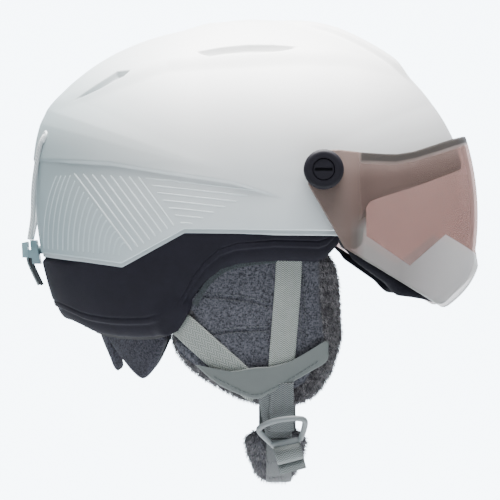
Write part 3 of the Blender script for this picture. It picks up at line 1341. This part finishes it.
def adjuster():
    """Slide adjuster: a bowed top bar, two sloping sides and a flat lower bar."""
    a = math.radians(-50.5)
    r = CHIN_RADIUS + 2.6
    origin = np.array([21.6, r * math.sin(a), CHIN_CENTRE_Z - r * math.cos(a)])
    out = np.array([0, math.sin(a), -math.cos(a)])
    up = np.array([0, -math.cos(a), -math.sin(a)])
    ahead = np.array([1.0, 0, 0])
    tilt = math.radians(13)
    across = ahead * math.cos(tilt) + up * math.sin(tilt)
    along = up * math.cos(tilt) - ahead * math.sin(tilt)

    def at(u, v, w=0.0):
        return origin + across * u + along * v + out * w

    parts = []
    loop = [(-7.0, -4.0), (-9.6, 1.6), (-11.6, 7.0), (-11.2, 10.2), (-6.6, 12.8), (0.6, 14.2), (8.0, 13.8)]
    loop += [(14.0, 12.0), (15.4, 9.2), (13.4, 3.0), (9.8, -4.0)]
    frame_line = spline([at(u, v, 1.6 + 0.9 * max(0.0, v / 13)) for u, v in loop], 70)
    parts.append(tube(frame_line, 1.75, 14, 0.9, up=out))
    lower = [at(u, -4.4, 2.0 + 0.8 * (1 - (u / 10) ** 2)) for u in np.linspace(-7.8, 9.8, 26)]
    width = 3.0 * np.sqrt(np.clip(1 - np.abs(np.linspace(-1, 1, 26)) ** 6, 0.2, 1))
    parts.append(tube(lower, width, 16, 0.7, up=out))
    return joined(parts)


points, faces = adjuster()
mesh("ladder_adjuster", points, faces, GREY_PLASTIC, "chin_loop", ["strap_adjuster"])

recolour(GREY_PLASTIC, "buckle_female", "buckle_male", "buckle_prong_front", "buckle_prong_rear")
recolour(KNOB_PLASTIC, "strap_anchors", "fit_band", "fit_dial")
recolour(CLIP_PLASTIC, "clip_stud", "goggle_hook")


# ---------------------------------------------------------------- inner pads
def inner_pad(name, low, high, grow, thickness, replaces):
    """Padded patch on the cavity wall between plan angles and heights, quilted in channels."""
    z = np.linspace(low[1], high[1], 46)
    a = np.radians(np.linspace(low[0], high[0], 90))
    zz, aa = np.meshgrid(z, a, indexing="ij")
    u, v = (zz - low[1]) / (high[1] - low[1]), (aa - a[0]) / (a[-1] - a[0])
    from_ends = np.minimum(u, 1 - u) * (high[1] - low[1])
    from_sides = np.minimum(v, 1 - v) * math.radians(high[0] - low[0]) * 85
    full = round_edge(np.minimum(from_ends, from_sides) / (thickness * 0.9), 0.02)
    quilt = 0.6 * np.exp(-((np.sin(v * math.pi * 5) / 0.18) ** 2))
    outer = egg(CAVITY, zz, aa, grow)
    n = egg_normal(CAVITY, outer)
    inner = outer - n * (thickness * full - quilt * full)[..., None]
    points, faces = solid_sheet(outer, inner, rim=1)
    obj = mesh(name, points, faces, LINING, "helmet", [replaces])


inner_pad("brow_cushion", (-44, 47), (44, 63), -0.3, 5.5, "brow_pad")
inner_pad("rear_cushion", (145, -13), (215, 23), -0.3, 5.5, "rear_pad")
inner_pad("side_cushion_right", (-115, 3), (-66, 33), -0.3, 5.5, "side_pad_right")
inner_pad("side_cushion_left", (66, 3), (115, 33), -0.3, 5.5, "side_pad_left")


def crown_cushion():
    """Crown pad: one dished disc with a waved outline."""
    r = np.linspace(0.02, 1, 30)[:, None]
    a = np.linspace(0, 2 * math.pi, 120, endpoint=False)[None]
    reach = 1 - 0.22 * np.cos(2 * a) ** 2
    x = CENTRE_X + 47 * r * reach * np.cos(a) * 1.05
    y = 36 * r * reach * np.sin(a) * 1.1
    f = np.clip(1 - ((x - CENTRE_X) / (CAVITY[0] - 0.3)) ** 2 - (y / (CAVITY[1] - 0.3)) ** 2, 0, 1)
    z = CENTRE_Z + (CAVITY[2] - 0.3) * np.sqrt(f)
    full = round_edge((1 - r) * 6, 0.03) + 0 * a
    outer = np.stack([x, y, z], -1)
    inner = np.stack([x, y, z - 5.5 * full], -1)
    return solid_sheet(outer, inner, wrap=True, rim=1)


points, faces = crown_cushion()
crown = mesh("crown_cushion", points, faces, LINING, "helmet", ["crown_pad"])

# ---------------------------------------------------------------- neck lobes
LOBES = {
    "neck_pad_centre": (180.0, 17.0, -82.4),
    "neck_pad_right": (-143.0, 19.0, -85.6),
    "neck_pad_left": (143.0, 19.0, -85.6),
}
for name, (middle, half, tip) in LOBES.items():
    u = np.linspace(-1, 1, 60)[None]
    v = np.linspace(0, 1, 50)[:, None]
    drop = tip + 24 * np.abs(u) ** 1.7
    z = -42.0 + (drop + 42.0) * v
    a = np.radians(middle + half * u) + 0 * v
    p = egg(NAPE, z, a, -2.8)
    n = egg_normal(NAPE, p)
    edge = np.minimum((1 - np.abs(u)) * half * 1.5, (1 - v) * 40 + 0 * u)
    full = round_edge(edge / 4.5, 0.02)
    swell = 3.6 * full
    lean = 7.0 * smooth((-52 - z) / 34) - 3.0
    outer = p - n * lean[..., None] + n * swell[..., None] * 0.5
    inner = p - n * lean[..., None] - n * swell[..., None] * 1.3
    points, faces = solid_sheet(outer, inner, rim=2)
    lobe = mesh(name.replace("pad", "lobe"), points, faces, LOBE_FELT, "helmet", [name])

# ---------------------------------------------------------------- goggle cord and its pull tab
CORD_LINE = [
    (-112.5, 33, 58.6), (-117.4, 33, 57.8), (-119.9, 32.4, 54.2), (-121.8, 30.2, 48), (-123.4, 26.5, 40),
    (-125.4, 20.3, 27), (-126.4, 14, 10), (-128.6, 8.5, -3),
]
strands, eyelets = [], []
for sign in (-1, 1):
    strands.append(tube(spline([(x, sign * y, z) for x, y, z in CORD_LINE], 90), 1.5, 14))
    out = np.array([-0.90, sign * 0.33, 0.28])
    across = np.cross(out, (0.0, 0.0, 1.0))
    turn = np.linspace(0, 2 * math.pi, 36, endpoint=False)[:, None]
    circle = np.cos(turn) * across + np.sin(turn) * np.cross(across, out)
    ring = np.array([-118.1, sign * 33.0, 57.2]) + 2.9 * circle
    eyelets.append(tube(ring, 1.0, 12, up=out, closed=True))
points, faces = joined(eyelets)
mesh("cord_eyelets", points, faces, EYELET_PLASTIC, "helmet", ["cord_grommets"])
points, faces = joined(strands)
cord = mesh("elastic_cord", points, faces, CORD, None, ["goggle_cord"])
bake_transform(cord)


def pull_tab():
    """Two layers of tape that hang from the clip and lean against the nape."""
    parts = []
    for x_shift, thickness, half in ((-0.9, 1.5, 6.4), (1.0, 1.7, 6.2)):
        line = [(-129.4, -13.6), (-128.6, -17.6), (-126.0, -23.6), (-122.6, -30.6)]
        path = spline([(x + x_shift, 0.0, z) for x, z in line], 24)
        out = np.cross(np.gradient(path, axis=0), np.array([0, 1.0, 0]))
        p, f, uv = strap(path, out, half * 2, thickness)
        parts.append((p, f, uv))
    return parts


outer_layer, inner_layer = pull_tab()
p, f, uv = outer_layer
mesh("tab_outer", p, f, TAB_GREY, "goggle_clip", ["clip_tab"], uv=uv)
p, f, uv = inner_layer
mesh("tab_inner", p, f, TAB_RUBBER, "goggle_clip", uv=uv)
